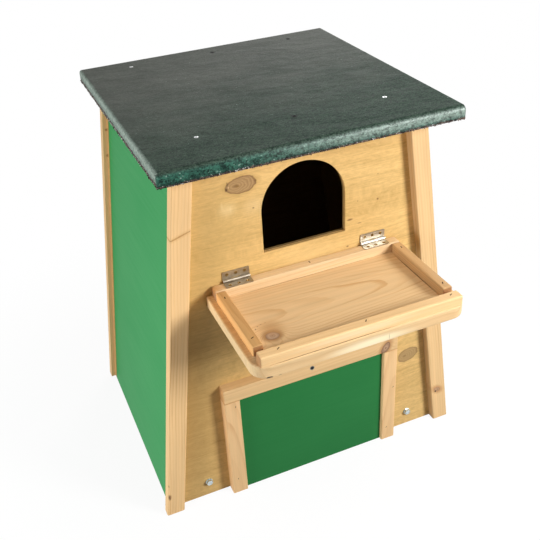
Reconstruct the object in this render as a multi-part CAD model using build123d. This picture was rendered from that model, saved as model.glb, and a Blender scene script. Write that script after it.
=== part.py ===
from build123d import *
from math import cos, hypot, pi
import os

# Owl nest box with leaning sides, a felted roof and a landing tray that folds up on butt hinges.
# Millimetres, +Z up, the front looks along -Y, the ground is at z = 0.

# Whole box
base_width = 520.0
wall_height = 584.0
wall_lean_share = 0.134
body_depth = 362.5
side_recess = 8.0

# Boards
panel_thick = 9.0
wall_thick = 9.0
floor_thick = 18.0
floor_rise = 16.5
cut_overrun = 6.0

# Corner posts
post_width = 28.5
front_post_thick = 14.0
back_post_thick = 18.5
post_round = 2.5

# Roof
roof_side_reach = 29.8
roof_front_reach = 59.0
roof_back_reach = 13.0
roof_thick = 18.5
felt_thick = 2.2
felt_fold_round = 8.0
felt_end_round = 4.0

# Entrance
entrance_width = 126.5
entrance_height = 124.0
entrance_drop = 36.0

# Hatch at the foot of the front
hatch_bolt_gap = 34.3
hatch_rail_top = 216.0
hatch_batten_width = 25.0
hatch_batten_thick = 17.5
hatch_batten_round = 2.0
hatch_panel_thick = 11.5
hatch_seam = 0.4
cleanout_lap = 20.0

# Landing tray
tray_drop = 30.0
tray_post_gap = 28.0
tray_fold_gap = 12.0
tray_stop_gap = 1.0
tray_board_thick = 18.5
tray_corner_round = 22.0
tray_edge_round = 2.5
tray_end_lip = 8.75
tray_front_lip = 2.0
batten_high = 14.5
batten_width = 16.5
batten_round = 2.5
side_batten_width = 14.5
side_batten_back_gap = 1.0
side_batten_front_gap = 8.0

# Hinges
hinge_length = 40.0
hinge_inset = 36.9
hinge_leaf_thick = 1.2
hinge_leaf_margin = 0.8
hinge_corner_round = 1.2
hinge_knuckles = 3
hinge_knuckle_radius = 2.3
hinge_knuckle_gap = 0.3
hinge_pin_radius = 1.1
hinge_running_gap = 0.06
hinge_seat_gap = 0.4
hinge_screws = 3
hinge_screw_margin = 7.0
hinge_screw_edge = 5.0
hinge_screw_radius = 1.7
hinge_sink_radius = 2.7

# Bolts low on the front
bolt_post_gap = 44.6
bolt_height = 28.5
bolt_radius = 3.0
bolt_gap = 0.1
bolt_bite = 18.0
bolt_head_sides = 6
bolt_head_width = 9.0
bolt_head_high = 4.0
bolt_washer_radius = 5.8
bolt_washer_thick = 1.2


def half_width(height):
    """Half the outer width of the box at a height."""
    return base_width / 2 - wall_lean_share * height


# Places that follow from the sizes above
body_reach = body_depth + back_post_thick
inner_depth = body_depth - 2 * panel_thick
floor_top = floor_rise + floor_thick
entrance_top = wall_height - entrance_drop
entrance_sill = entrance_top - entrance_height
rim_top = entrance_sill - tray_drop
tray_top = rim_top - batten_high
pin_offset = hinge_knuckle_radius + hinge_seat_gap
hinge_z = rim_top + pin_offset
tray_reach = wall_height - tray_fold_gap - hinge_z + pin_offset
tray_half = half_width(tray_top) - post_width - tray_post_gap
rim_half = tray_half - tray_end_lip
hinge_x = rim_half - hinge_inset
leaf_reach = tray_stop_gap + batten_width - pin_offset - hinge_leaf_margin
bolt_x = half_width(bolt_height) - post_width - bolt_post_gap
hatch_half = bolt_x - hatch_bolt_gap
hatch_inner_half = hatch_half - hatch_batten_width
hatch_rail_low = hatch_rail_top - hatch_batten_width
front_y = (tray_reach - body_reach) / 2
tray_back_y = front_y - tray_stop_gap
tray_front_y = front_y - tray_reach
hinge_y = front_y - pin_offset


def bar(low, high):
    """Square-edged bar between two opposite corners."""
    size = [b - a for a, b in zip(low, high)]
    middle = [(a + b) / 2 for a, b in zip(low, high)]
    return Pos(*middle) * Box(*size)


def rod_x(radius, start, end, y, z):
    """Round rod along X."""
    return Pos((start + end) / 2, y, z) * Rot(0, 90, 0) * Cylinder(radius, end - start)


def rod_y(radius, start, end, x, z):
    """Round rod along Y."""
    return Pos(x, (start + end) / 2, z) * Rot(90, 0, 0) * Cylinder(radius, end - start)


def upright_plate(low, high, inset, front, thick):
    """Plate across the box whose side edges lean in with the walls."""
    low_half = half_width(low) - inset
    high_half = half_width(high) - inset
    corners = [(-low_half, low), (low_half, low), (high_half, high), (-high_half, high)]
    outline = make_face(Polyline(*[(x, front, z) for x, z in corners], close=True))
    return extrude(outline, amount=thick, dir=(0, 1, 0))


def leaning_bar(section, side):
    """Bar with a level section, as tall as the walls and leaning in with them."""
    run = -side * wall_lean_share * wall_height
    return extrude(section, amount=hypot(run, wall_height), dir=(run, 0, wall_height))


def rounded_except(solid, seat, radius):
    """The solid with all its edges rounded but those of the face that it sits on."""
    kept = seat.edges()
    loose = [e for e in solid.edges() if not any(e.is_same(k) for k in kept)]
    return fillet(loose, radius)


def front_panel():
    """Plywood front with the arched entrance, the clean-out opening and two bolt holes."""
    panel = upright_plate(0, wall_height, side_recess, front_y, panel_thick)
    near = front_y - cut_overrun
    far = front_y + panel_thick + cut_overrun
    arch_radius = entrance_width / 2
    spring = entrance_top - arch_radius
    arch = rod_y(arch_radius, near, far, 0, spring)
    arch -= bar((-entrance_width, near, spring - entrance_width), (entrance_width, far, spring))
    panel -= arch + bar((-arch_radius, near, entrance_sill), (arch_radius, far, spring))
    cleanout_half = hatch_inner_half - cleanout_lap
    panel -= bar((-cleanout_half, near, floor_top), (cleanout_half, far, hatch_rail_low - cleanout_lap))
    for side in (-1, 1):
        panel -= rod_y(bolt_radius + bolt_gap, near, far, side * bolt_x, bolt_height)
    return panel


def back_panel():
    """Plain plywood back."""
    return upright_plate(0, wall_height, side_recess, front_y + body_depth - panel_thick, panel_thick)


def floor_board():
    """Floor raised off the ground, drilled for the two front bolts."""
    start = front_y + panel_thick
    board = upright_plate(floor_rise, floor_top, side_recess + wall_thick, start, inner_depth)
    for side in (-1, 1):
        end = start + bolt_bite + bolt_gap
        board -= rod_y(bolt_radius + bolt_gap, start - cut_overrun, end, side * bolt_x, bolt_height)
    return board


def side_wall(side):
    """Painted wall between the front and back panels."""
    middle_x = side * (base_width / 2 - side_recess - wall_thick / 2)
    section = Pos(middle_x, front_y + body_depth / 2) * Rectangle(wall_thick, inner_depth)
    return leaning_bar(section, side)


def front_post(side):
    """Pine post on the front panel's slanting edge, rounded in front."""
    middle_x = side * (base_width - post_width) / 2
    section = Pos(middle_x, front_y - front_post_thick / 2) * Rectangle(post_width, front_post_thick)
    section = fillet(section.vertices().sort_by(Axis.Y)[:2], post_round)
    return leaning_bar(section, side)


def back_post(side):
    """Pine post on the back panel's slanting edge, rounded behind."""
    middle_x = side * (base_width - post_width) / 2
    middle_y = front_y + body_depth + back_post_thick / 2
    section = Pos(middle_x, middle_y) * Rectangle(post_width, back_post_thick)
    section = fillet(section.vertices().sort_by(Axis.Y)[2:], post_round)
    return leaning_bar(section, side)


def roof_outline(inset):
    """Half width, front and back of the roof, drawn in by an inset."""
    half = half_width(wall_height) + roof_side_reach - inset
    return half, front_y - roof_front_reach + inset, front_y + body_depth + roof_back_reach - inset


def roof_slab(inset, fold_round):
    """Slab of the roof, drawn in by an inset all round and above, with rounded front and back edges."""
    half, front, back = roof_outline(inset)
    slab = bar((-half, front, wall_height), (half, back, wall_height + roof_thick - inset))
    return fillet(slab.faces().sort_by(Axis.Z)[-1].edges().filter_by(Axis.X), fold_round)


def roof_board():
    """Board that carries the felt, rounded in front and behind so that the felt folds softly."""
    return roof_slab(felt_thick, felt_fold_round - felt_thick)


def roof_felt():
    """Felt over the top of the board and down its four edges, rounded where it folds."""
    sheet = roof_slab(0, felt_fold_round)
    ends = sheet.faces().filter_by(Axis.X)
    loose = [e for end in ends for e in end.edges() if e.center().Z > wall_height + felt_thick]
    return fillet(loose, felt_end_round) - roof_board()


def hatch_panel():
    """Painted panel over the clean-out opening, between the stiles and under the rail."""
    half = hatch_inner_half - hatch_seam
    return bar((-half, front_y - hatch_panel_thick, 0), (half, front_y, hatch_rail_low - hatch_seam))


def hatch_top_rail():
    """Pine rail above the hatch panel."""
    rail = bar((-hatch_half, front_y - hatch_batten_thick, hatch_rail_low),
               (hatch_half, front_y, hatch_rail_top))
    return rounded_except(rail, rail.faces().sort_by(Axis.Y)[-1], hatch_batten_round)


def hatch_stile(side):
    """Pine stile beside the hatch panel, standing on the ground under the rail."""
    middle_x = side * (hatch_half - hatch_batten_width / 2)
    section = Rectangle(hatch_batten_width, hatch_batten_thick)
    section = fillet(section.vertices().sort_by(Axis.Y)[:2], hatch_batten_round)
    return extrude(Pos(middle_x, front_y - hatch_batten_thick / 2) * section, amount=hatch_rail_low)


def tray_board():
    """Landing board with rounded front corners and eased edges."""
    outline = Rectangle(2 * tray_half, tray_back_y - tray_front_y)
    outline = fillet(outline.vertices().sort_by(Axis.Y)[:2], tray_corner_round)
    middle = Pos(0, (tray_front_y + tray_back_y) / 2, tray_top - tray_board_thick)
    board = extrude(middle * outline, amount=tray_board_thick)
    back = board.faces().sort_by(Axis.Y)[-1]
    flats = board.faces().filter_by(Axis.Z)
    loose = [e for face in flats for e in face.edges() if not any(e.is_same(k) for k in back.edges())]
    return fillet(loose, tray_edge_round)


def tray_batten(low_x, high_x, front, back):
    """Batten on the tray board, rounded but for its underside."""
    batten = bar((low_x, front, tray_top), (high_x, back, rim_top))
    return rounded_except(batten, batten.faces().sort_by(Axis.Z)[0], batten_round)


def tray_batten_back():
    """Batten along the hinged edge."""
    return tray_batten(-rim_half, rim_half, tray_back_y - batten_width, tray_back_y)


def tray_batten_front():
    """Batten along the front edge."""
    front = tray_front_y + tray_front_lip
    return tray_batten(-rim_half, rim_half, front, front + batten_width)


def tray_batten_side(side):
    """Batten along one end, stopping short of the front batten."""
    outer = side * rim_half
    inner = side * (rim_half - side_batten_width)
    front = tray_front_y + tray_front_lip + batten_width + side_batten_front_gap
    back = tray_back_y - batten_width - side_batten_back_gap
    return tray_batten(min(outer, inner), max(outer, inner), front, back)


def knuckle_spans(first):
    """X limits of every second knuckle of a hinge, from the first one named."""
    pitch = hinge_length / hinge_knuckles
    starts = [i * pitch - hinge_length / 2 for i in range(first, hinge_knuckles, 2)]
    return [(start, start + pitch) for start in starts]


def hinge_leaf(first, bore):
    """Flat-lying hinge leaf with every second knuckle: its seat is at z = 0, and its pin is above y = 0."""
    half = hinge_length / 2
    leaf = bar((-half, -leaf_reach, 0), (half, 0, hinge_leaf_thick))
    leaf = fillet(leaf.edges().filter_by(Axis.Z).sort_by(Axis.Y)[:2], hinge_corner_round)
    for low, high in knuckle_spans(1 - first):
        leaf -= bar((low - hinge_knuckle_gap, -pin_offset, -cut_overrun),
                    (high + hinge_knuckle_gap, cut_overrun, cut_overrun))
    screw_reach = half - hinge_screw_margin
    for i in range(hinge_screws):
        x = screw_reach * (2 * i / (hinge_screws - 1) - 1)
        sink = Cone(hinge_screw_radius, hinge_sink_radius, hinge_leaf_thick)
        leaf -= Pos(x, hinge_screw_edge - leaf_reach, hinge_leaf_thick / 2) * sink
    for low, high in knuckle_spans(first):
        leaf += rod_x(hinge_knuckle_radius, low, high, 0, pin_offset)
    return leaf - rod_x(bore, -half, half, 0, pin_offset)


def hinge_plate(side):
    """Hinge leaf on the front panel: it stands up from the pin and holds it."""
    leaf = Pos(0, 0, -pin_offset) * hinge_leaf(0, hinge_pin_radius)
    return Pos(side * hinge_x, hinge_y, hinge_z) * Rot(90, 0, 180) * leaf


def tray_hinge_leaf(side):
    """Hinge leaf on the tray's back batten: it turns on the pin."""
    leaf = hinge_leaf(1, hinge_pin_radius + hinge_running_gap)
    return Pos(side * hinge_x, hinge_y, rim_top) * leaf


def hinge_pin(side):
    """Pin through all the knuckles of a hinge."""
    start = side * hinge_x - hinge_length / 2
    return rod_x(hinge_pin_radius, start, start + hinge_length, hinge_y, hinge_z)


def front_bolt(side):
    """Bolt with a washer, through the front panel into the edge of the floor."""
    x = side * bolt_x
    seat = front_y - bolt_washer_thick
    washer = rod_y(bolt_washer_radius, seat, front_y, x, bolt_height)
    corner_radius = bolt_head_width / 2 / cos(pi / bolt_head_sides)
    outline = RegularPolygon(corner_radius, bolt_head_sides)
    head = Pos(x, seat, bolt_height) * Rot(90, 0, 0) * extrude(outline, amount=bolt_head_high)
    shank = rod_y(bolt_radius, seat, front_y + panel_thick + bolt_bite, x, bolt_height)
    return washer + head + shank


pieces = {
    "front_panel": front_panel(),
    "back_panel": back_panel(),
    "floor_board": floor_board(),
    "roof_board": roof_board(),
    "roof_felt": roof_felt(),
    "hatch_panel": hatch_panel(),
    "hatch_top_rail": hatch_top_rail(),
    "tray_board": tray_board(),
    "tray_batten_back": tray_batten_back(),
    "tray_batten_front": tray_batten_front(),
}
for name, side in (("left", -1), ("right", 1)):
    pieces["side_wall_" + name] = side_wall(side)
    pieces["front_post_" + name] = front_post(side)
    pieces["back_post_" + name] = back_post(side)
    pieces["hatch_stile_" + name] = hatch_stile(side)
    pieces["tray_batten_" + name] = tray_batten_side(side)
    pieces["hinge_plate_" + name] = hinge_plate(side)
    pieces["tray_hinge_leaf_" + name] = tray_hinge_leaf(side)
    pieces["hinge_pin_" + name] = hinge_pin(side)
    pieces["front_bolt_" + name] = front_bolt(side)

os.makedirs("parts", exist_ok=True)
for name, solid in pieces.items():
    export_step(solid, "parts/" + name + ".step")
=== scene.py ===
"""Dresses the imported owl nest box: its grain, paint, felt and zinc, its small fixings and the studio."""

from __future__ import annotations

import logging
import math
from dataclasses import dataclass
from enum import Enum

import bmesh
import bpy
from mathutils import Matrix, Vector


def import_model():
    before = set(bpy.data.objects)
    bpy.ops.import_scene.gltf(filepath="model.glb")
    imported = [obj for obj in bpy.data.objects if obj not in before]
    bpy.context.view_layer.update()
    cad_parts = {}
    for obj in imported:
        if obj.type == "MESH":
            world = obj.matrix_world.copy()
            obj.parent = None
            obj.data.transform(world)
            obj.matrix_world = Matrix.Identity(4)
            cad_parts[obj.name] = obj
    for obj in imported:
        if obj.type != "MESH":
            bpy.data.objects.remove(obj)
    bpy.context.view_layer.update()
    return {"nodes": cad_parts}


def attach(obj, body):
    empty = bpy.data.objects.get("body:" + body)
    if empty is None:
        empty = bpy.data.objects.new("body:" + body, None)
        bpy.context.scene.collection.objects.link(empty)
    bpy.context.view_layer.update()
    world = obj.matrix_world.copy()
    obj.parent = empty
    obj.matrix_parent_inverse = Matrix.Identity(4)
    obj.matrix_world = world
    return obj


log = logging.getLogger("owl_nest_box")

Colour = tuple[float, float, float]
Point = tuple[float, float, float]
Rings = list[list[Point]]
Socket = bpy.types.NodeSocket
Material = bpy.types.Material
Piece = bpy.types.Object
Nodes = dict[str, Piece]

MM = 0.001
WHITE = (1.0, 1.0, 1.0)
FULL_SIZE = (1.0, 1.0, 1.0)
ALONG_X = (1.0, 0.0, 0.0)
ALONG_Y = (0.0, 1.0, 0.0)
UP = (0.0, 0.0, 1.0)
DOWN = (0.0, 0.0, -1.0)
FORWARD = (0.0, -1.0, 0.0)


class Side(Enum):
    """The two sides of the box, as seen from the front."""

    LEFT = -1
    RIGHT = 1

    @property
    def label(self) -> str:
        """The side's word in a node's name."""
        return self.name.lower()


class Body(Enum):
    """The bodies that pieces ride on."""

    BOX = "box"
    TRAY = "tray"


class Value:
    """A number on a shader socket that takes part in Python expressions."""

    def __init__(self, graph: Graph, socket: Socket) -> None:
        """Keeps the graph that new nodes join and the socket that gives the number."""
        self.graph = graph
        self.socket = socket

    def __add__(self, other: Value | float) -> Value:
        """Sum of two numbers."""
        return self.graph.math("ADD", self, other)

    def __sub__(self, other: Value | float) -> Value:
        """Difference of two numbers."""
        return self.graph.math("SUBTRACT", self, other)

    def __rsub__(self, other: float) -> Value:
        """Difference from a plain number."""
        return self.graph.math("SUBTRACT", other, self)

    def __mul__(self, other: Value | float) -> Value:
        """Product of two numbers."""
        return self.graph.math("MULTIPLY", self, other)

    def __truediv__(self, other: Value | float) -> Value:
        """Quotient of two numbers."""
        return self.graph.math("DIVIDE", self, other)

    def __rtruediv__(self, other: float) -> Value:
        """A plain number divided by this one."""
        return self.graph.math("DIVIDE", other, self)

    def __pow__(self, power: float) -> Value:
        """Power of a number that isn't negative."""
        return self.graph.math("POWER", self, power)

    def __abs__(self) -> Value:
        """Size of a number without its sign."""
        return self.graph.math("ABSOLUTE", self)

    __radd__ = __add__
    __rmul__ = __mul__


class Graph:
    """A node tree and the calls that add to it."""

    def __init__(self, tree: bpy.types.NodeTree) -> None:
        """Empties the tree."""
        self.tree = tree
        self.tree.nodes.clear()

    def node(self, kind: str, settings: dict[str, object] | None = None,
             sockets: dict[str | int, object] | None = None) -> bpy.types.Node:
        """Adds one node.

        Args:
            kind: Blender's name for the node type.
            settings: Attributes of the node, which are set before its sockets.
            sockets: Numbers or links of its inputs, by name or index.

        Returns:
            The new node.
        """
        made = self.tree.nodes.new(kind)
        for key, setting in (settings or {}).items():
            setattr(made, key, setting)
        for key, given in (sockets or {}).items():
            source = given.socket if isinstance(given, Value) else given
            if isinstance(source, Socket):
                self.tree.links.new(source, made.inputs[key])
            else:
                made.inputs[key].default_value = source
        return made

    def math(self, operation: str, *terms: Value | float) -> Value:
        """One Math node.

        Args:
            operation: The node's operation.
            terms: Its inputs in order.

        Returns:
            The node's result.
        """
        made = self.node("ShaderNodeMath", {"operation": operation}, dict(enumerate(terms)))
        return Value(self, made.outputs[0])

    def parts(self, vector: Socket) -> tuple[Value, Value, Value]:
        """The three numbers of a vector."""
        made = self.node("ShaderNodeSeparateXYZ", None, {0: vector})
        return Value(self, made.outputs[0]), Value(self, made.outputs[1]), Value(self, made.outputs[2])

    def scale(self, vector: Socket, level: Value | float) -> Socket:
        """A vector or a colour times a number."""
        made = self.node("ShaderNodeVectorMath", {"operation": "SCALE"}, {0: vector, "Scale": level})
        return made.outputs[0]

    def place(self) -> Socket:
        """The point's place in the row frame, in millimetres."""
        return self.scale(self.node("ShaderNodeTexCoord").outputs["Object"], 1.0 / MM)

    def noise(self, x: Value | float, y: Value | float, z: Value | float,
              detail: float = 2.0, rough: float = 0.5) -> Value:
        """Smooth noise about 0, roughly from -0.5 to 0.5, with features about one unit wide.

        Args:
            x: Where the noise is read, first way.
            y: Where it is read, second way.
            z: Where it is read, third way.
            detail: Octaves of finer noise.
            rough: Share of each finer octave.

        Returns:
            The noise.
        """
        where = self.node("ShaderNodeCombineXYZ", None, {0: x, 1: y, 2: z})
        made = self.node("ShaderNodeTexNoise", {"noise_dimensions": "3D"},
                         {"Vector": where.outputs[0], "Scale": 1.0, "Detail": detail, "Roughness": rough})
        return Value(self, made.outputs[0]) - 0.5

    def grains(self, vector: Socket, scale: float) -> tuple[Value, Value]:
        """Random grains that fill space.

        Args:
            vector: Where the grains are read.
            scale: Grains in each unit of it.

        Returns:
            A fixed number from 0 to 1 for each grain, and the distance from its middle.
        """
        made = self.node("ShaderNodeTexVoronoi", {"voronoi_dimensions": "3D", "feature": "F1"},
                         {"Vector": vector, "Scale": scale, "Randomness": 1.0})
        return self.parts(made.outputs["Color"])[0], Value(self, made.outputs["Distance"])

    def seen_by(self, first: str, *others: str) -> Value:
        """Tells some kinds of ray from the rest.

        Args:
            first: A kind of ray, such as Camera.
            others: More kinds.

        Returns:
            1 for those rays and 0 for the rest.
        """
        rays = self.node("ShaderNodeLightPath").outputs
        seen = Value(self, rays[f"Is {first} Ray"])
        for kind in others:
            seen = self.math("MAXIMUM", seen, Value(self, rays[f"Is {kind} Ray"]))
        return seen

    def chance(self, number: Value, seed: float) -> Value:
        """A fixed random number from 0 to 1 for each whole number."""
        made = self.node("ShaderNodeTexWhiteNoise", {"noise_dimensions": "1D"}, {"W": number + seed})
        return Value(self, made.outputs["Value"])

    def ease(self, value: Value, low: Value | float, high: Value | float) -> Value:
        """Smooth step from 0 at one number to 1 at another, which may be the lower one.

        Args:
            value: The number that steps.
            low: Where the result is 0.
            high: Where the result is 1.

        Returns:
            The step.
        """
        made = self.node("ShaderNodeMapRange", {"interpolation_type": "SMOOTHSTEP"},
                         {0: value, 1: low, 2: high, 3: 0.0, 4: 1.0})
        return Value(self, made.outputs[0])

    def mix(self, share: Value, first: object, second: object) -> Socket:
        """Mixes two colours.

        Args:
            share: Share of the second colour.
            first: Colour or socket at 0.
            second: Colour or socket at 1.

        Returns:
            The mixed colour.
        """
        colours = [(*c, 1.0) if isinstance(c, tuple) else c for c in (first, second)]
        made = self.node("ShaderNodeMix", {"data_type": "RGBA", "clamp_factor": True},
                         {0: share, 6: colours[0], 7: colours[1]})
        return made.outputs[2]

    def surface(self, colour: Socket, roughness: Value, height: Value, relief: float, metallic: float = 0.0,
                specular: float = 0.5, coat: Value | None = None, coat_rough: float = 0.5) -> None:
        """Ends the material in one principled surface.

        Args:
            colour: Base colour.
            roughness: Roughness.
            height: Bump height from 0 to 1.
            relief: Height in metres of a bump of 1.
            metallic: 1 for bare metal.
            specular: Level of the plain reflection.
            coat: Share of a thin gloss over it.
            coat_rough: Roughness of that gloss.
        """
        bump = self.node("ShaderNodeBump", None, {"Height": height, "Distance": relief, "Strength": 1.0})
        sockets = {"Base Color": colour, "Roughness": roughness, "Metallic": metallic,
                   "Specular IOR Level": specular, "Normal": bump.outputs[0]}
        if coat is not None:
            sockets["Coat Weight"] = coat
            sockets["Coat Roughness"] = coat_rough
        shader = self.node("ShaderNodeBsdfPrincipled", None, sockets)
        self.node("ShaderNodeOutputMaterial", None, {0: shader.outputs[0]})


@dataclass(frozen=True)
class Finish:
    """A surface finish, which becomes a material of its own name."""

    name: str

    def make(self) -> Material:
        """Makes the material.

        Returns:
            The finish as a material.
        """
        material = bpy.data.materials.new(self.name)
        material.use_nodes = True
        self.paint(Graph(material.node_tree))
        return material

    def paint(self, graph: Graph) -> None:
        """Lays the finish into a material's graph."""
        raise NotImplementedError(self.name)


@dataclass(frozen=True)
class BoardAxes:
    """A board's own directions in the row frame: its grain, its width, and its thickness across both."""

    origin: Point
    along: Point
    across: Point

    def turn(self) -> Matrix:
        """Squares the board's width to its grain.

        Returns:
            The matrix that takes the row frame's directions to the board's.
        """
        along = Vector(self.along).normalized()
        across = Vector(self.across)
        across = (across - along * across.dot(along)).normalized()
        return Matrix((along, across, along.cross(across)))

    def local(self, place: Point) -> Vector:
        """A place of the row frame in the board's directions, in millimetres."""
        return self.turn() @ (Vector(place) - Vector(self.origin))

    def read(self, graph: Graph) -> tuple[Value, Value, Value]:
        """Reads the shaded point's place in the board.

        Args:
            graph: The material's graph.

        Returns:
            Millimetres along, across and through the board.
        """
        turn = self.turn()
        made = graph.node("ShaderNodeMapping", {"vector_type": "POINT"},
                          {"Vector": graph.place(), "Location": -(turn @ Vector(self.origin)),
                           "Rotation": turn.to_euler()})
        return graph.parts(made.outputs[0])


@dataclass
class KnotTrace:
    """What a knot does to the grain round it."""

    push: Value
    inside: Value
    halo: Value
    rings: Value


@dataclass(frozen=True)
class Knot:
    """A knot through the thickness of a board, with its place in the row frame in millimetres."""

    place: Point
    radius: float
    stretch: float = 1.3
    slant: float = 0.0
    swirl: float = 1.2
    ring: float = 1.6
    eye: float = 0.0
    light: Colour = (0.46, 0.255, 0.115)
    dark: Colour = (0.235, 0.105, 0.040)
    shade: float = 0.45
    stain: Colour = (0.56, 0.29, 0.10)
    spread: float = 2.0
    depth: float = 0.92
    rim: float = 0.80

    def colour(self, graph: Graph, trace: KnotTrace, wood: Socket) -> Socket:
        """Lays the knot's colours over the wood.

        Args:
            graph: The material's graph.
            trace: The knot's masks.
            wood: Colour of the wood round it.

        Returns:
            The wood with the knot in it.
        """
        wood = graph.mix(trace.halo * self.shade, wood, self.stain)
        core = graph.mix(trace.rings * 0.8, self.light, self.dark)
        return graph.mix(trace.inside * self.depth, wood, core)

    def trace(self, graph: Graph, axes: BoardAxes, along: Value, across: Value) -> KnotTrace:
        """Lays the knot into a board.

        Args:
            graph: The material's graph.
            axes: The board's directions.
            along: Millimetres along the board.
            across: Millimetres across it.

        Returns:
            The knot's masks and its push on the year rings.
        """
        centre = axes.local(self.place)
        cos = math.cos(math.radians(self.slant))
        sin = math.sin(math.radians(self.slant))
        near = along - centre.x
        aside = across - centre.y
        long_way = (near * cos + aside * sin) / self.stretch
        short_way = aside * cos - near * sin
        wobble = graph.noise(along * 0.11, across * 0.15, self.radius)
        distance = (long_way * long_way + short_way * short_way) ** 0.5 + wobble * (0.35 * self.radius)
        spread = distance / (self.radius * 1.9)
        push = graph.math("EXPONENT", spread * spread * -1.0) * (self.swirl * self.radius)
        off_eye = long_way + self.eye * self.radius
        inner = (off_eye * off_eye + short_way * short_way) ** 0.5 + wobble * (0.3 * self.radius)
        turns = inner / self.ring
        part = turns - graph.math("FLOOR", turns)
        rim = graph.ease(distance, self.radius * self.rim, self.radius * 0.97)
        heart = graph.ease(inner, self.radius * 0.24, self.radius * 0.08)
        return KnotTrace(push=push,
                         inside=graph.ease(distance, self.radius * 1.05, self.radius * 0.96),
                         halo=graph.ease(distance, self.radius * self.spread, self.radius * 0.95),
                         rings=graph.math("MAXIMUM", graph.ease(part, 0.3, 0.9) * 0.55, rim + heart))


@dataclass(frozen=True)
class Stain:
    """A mark or a paler patch in the wood, some of them painted light and shade, with its place and half
    sizes in millimetres.
    """

    place: Point
    reach: Point
    colour: Colour = (0.035, 0.022, 0.014)
    share: float = 0.95
    core: float = 0.7

    def lay(self, graph: Graph, wood: Socket) -> Socket:
        """Lays the mark over the wood.

        Args:
            graph: The material's graph.
            wood: Colour of the wood round it.

        Returns:
            The wood with the mark in it.
        """
        offset = graph.node("ShaderNodeVectorMath", {"operation": "SUBTRACT"},
                            {0: graph.place(), 1: self.place})
        scaled = graph.node("ShaderNodeVectorMath", {"operation": "DIVIDE"},
                            {0: offset.outputs[0], 1: self.reach})
        length = graph.node("ShaderNodeVectorMath", {"operation": "LENGTH"}, {0: scaled.outputs[0]})
        mask = graph.ease(Value(graph, length.outputs["Value"]), 1.0, self.core)
        return graph.mix(mask * self.share, wood, self.colour)


@dataclass(frozen=True)
class Pine(Finish):
    """Planed pine with year rings about a pith, fibres, knots and darker ends, and a painted level of light
    and shade on the side faces that look back along its width.
    """

    axes: BoardAxes
    pith: tuple[float, float]
    ring: float
    seed: float
    tilt: float = 0.0
    wander: float = 10.0
    tone: float = 1.0
    contrast: float = 0.85
    knots: tuple[Knot, ...] = ()
    stains: tuple[Stain, ...] = ()
    early: Colour = (0.80, 0.535, 0.265)
    late: Colour = (0.60, 0.315, 0.105)
    end: Colour = (0.58, 0.31, 0.12)
    flank: float = 1.0
    ripple: float = 1.8

    def paint(self, graph: Graph) -> None:
        """Lays the pine into a graph.

        Args:
            graph: The material's graph.
        """
        along, across, through = self.axes.read(graph)
        bend = graph.noise(along * 0.0035 + self.seed, across * 0.009, through * 0.009)
        ripple = graph.noise(along * 0.016, across * 0.05 + self.seed, through * 0.05)
        aside = across - self.pith[0]
        below = through - self.pith[1] - along * self.tilt
        radius = (aside * aside + below * below) ** 0.5 + bend * self.wander + ripple * self.ripple
        traces = [knot.trace(graph, self.axes, along, across) for knot in self.knots]
        for trace in traces:
            radius = radius + trace.push
        turns = radius / self.ring
        year = graph.math("FLOOR", turns)
        part = turns - year
        vigour = graph.chance(year, self.seed)
        late = graph.ease(part, 0.30 + vigour * 0.35, 0.93) * graph.ease(part, 1.0, 0.94)
        fibre = graph.noise(along * 0.010, across * 0.75 + self.seed, through * 0.75, detail=3.0, rough=0.6)
        streak = graph.noise(along * 0.0022, across * 0.11, through * 0.11 + self.seed)
        resin = graph.noise(along * 0.07, across * 2.2, through * 2.2, detail=1.0)
        fleck = graph.ease(resin, 0.16, 0.30)
        fade = graph.noise(along * 0.007, across * 0.028 + self.seed, through * 0.028)
        shown = (0.25 + vigour * 0.75) * (0.35 + graph.ease(fade, -0.12, 0.16) * 0.65)
        colour = graph.mix(late * shown * self.contrast, self.early, self.late)
        for knot, trace in zip(self.knots, traces):
            colour = knot.colour(graph, trace, colour)
        cut = graph.ease(abs(self._facing(graph, self.axes.turn()[0])), 0.55, 0.9)
        colour = graph.mix(cut * 0.70, colour, self.end)
        for stain in self.stains:
            colour = stain.lay(graph, colour)
        level = self.tone + fibre * 0.25 + streak * 0.26 - fleck * 0.09
        # Painted light and shade: side faces that look back along the board's width are darkened when flank
        # is below 1 and lightened when it is above 1.
        flanking = graph.ease(self._facing(graph, -self.axes.turn()[1]), 0.5, 0.9) * (1.0 - self.flank)
        colour = graph.scale(colour, level * (1.0 - flanking))
        rough = 0.62 + fibre * 0.12 + cut * 0.2
        graph.surface(colour, rough, late * 0.35 + fibre * 0.5, relief=0.00012, specular=0.25)

    def _facing(self, graph: Graph, way: Vector) -> Value:
        """How far the surface faces a direction, from -1 to 1."""
        made = graph.node("ShaderNodeVectorMath", {"operation": "DOT_PRODUCT"},
                          {0: graph.node("ShaderNodeTexCoord").outputs["Normal"], 1: way})
        return Value(graph, made.outputs["Value"])


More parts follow.
